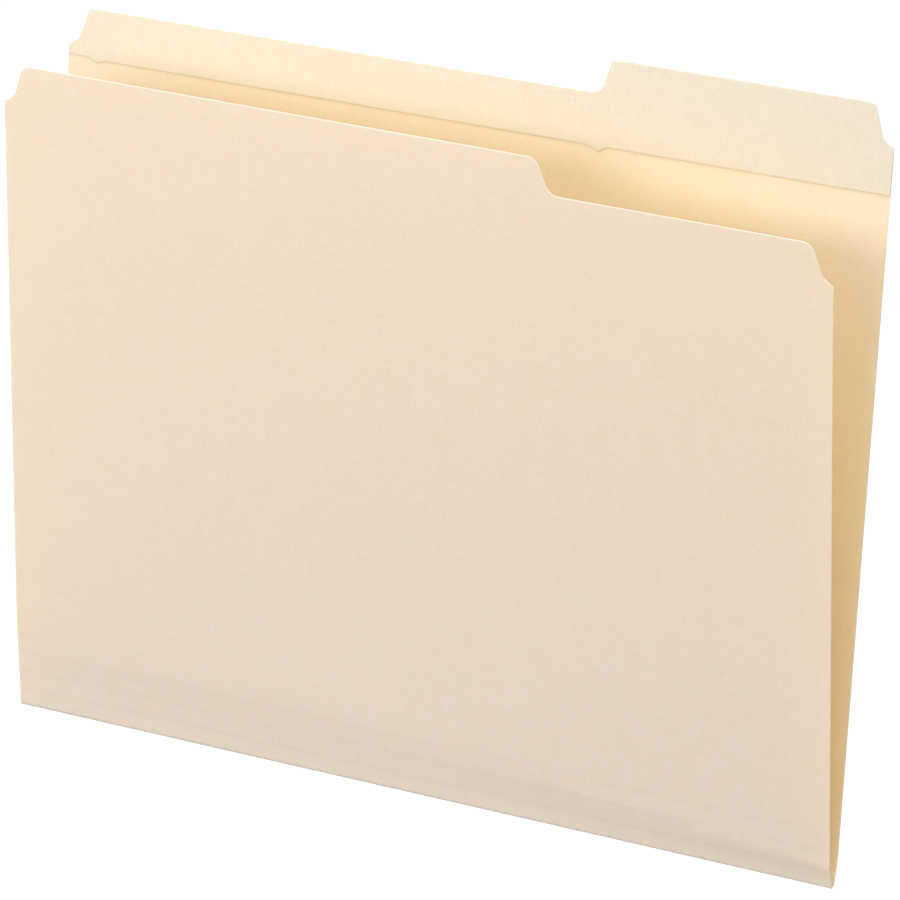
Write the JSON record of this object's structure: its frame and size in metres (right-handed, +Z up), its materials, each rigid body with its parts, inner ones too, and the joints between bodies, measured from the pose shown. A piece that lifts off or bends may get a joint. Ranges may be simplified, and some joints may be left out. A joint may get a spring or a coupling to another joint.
{
  "type": "top tab file folder",
  "caption": "Manila file folder standing slightly open on its fold, with a reinforced right-hand top tab and a scored front cover that swings and widens at the bottom.",
  "frame": {"origin": "middle of the folded edge, on the narrow flat that the folder stands on", "axes": "+X along the fold towards the tab's end, +Z up, the back panel upright in the XZ plane, the front cover opens towards -Y"},
  "size_m": [0.2984, 0.0348, 0.2413],
  "materials": {
    "manila_card": "uncoated calendered card, matt with a faint fibre mottle",
    "creased_card": "the same card pressed thin along a crease",
    "dry_glue": "dried film of water-based paper glue, hidden between the plies"
  },
  "bodies": {
    "back": {"back_panel": "manila_card", "reinforcing_ply": "manila_card", "tab_turnover": "manila_card", "glue_film": "dry_glue"},
    "crease": {"fold_crease": "creased_card"},
    "gusset": {"expansion_strip_1": "manila_card", "score_crease_1": "creased_card", "expansion_strip_2": "manila_card", "score_crease_2": "creased_card", "expansion_strip_3": "manila_card", "score_crease_3": "creased_card"},
    "front": {"front_panel": "manila_card"}
  },
  "joints": [
    {"name": "cover_swing", "type": "hinge", "parent": "back", "child": "crease", "pos_m": [0, 0, 0.00121], "axis": [1, 0, 0], "range_deg": [-8.9, 171.4]},
    {"name": "bottom_widen", "type": "hinge", "parent": "crease", "child": "gusset", "pos_m": [0, -0.00108, 0.00105], "axis": [1, 0, 0], "range_deg": [0, 90]},
    {"name": "score_bend", "type": "hinge", "parent": "gusset", "child": "front", "pos_m": [0, -0.00375, 0.01869], "axis": [1, 0, 0], "range_deg": [-90, 0]}
  ],
  "couplings": [
    {"joint": "score_bend", "follows": "bottom_widen", "ratio": -1}
  ]
}
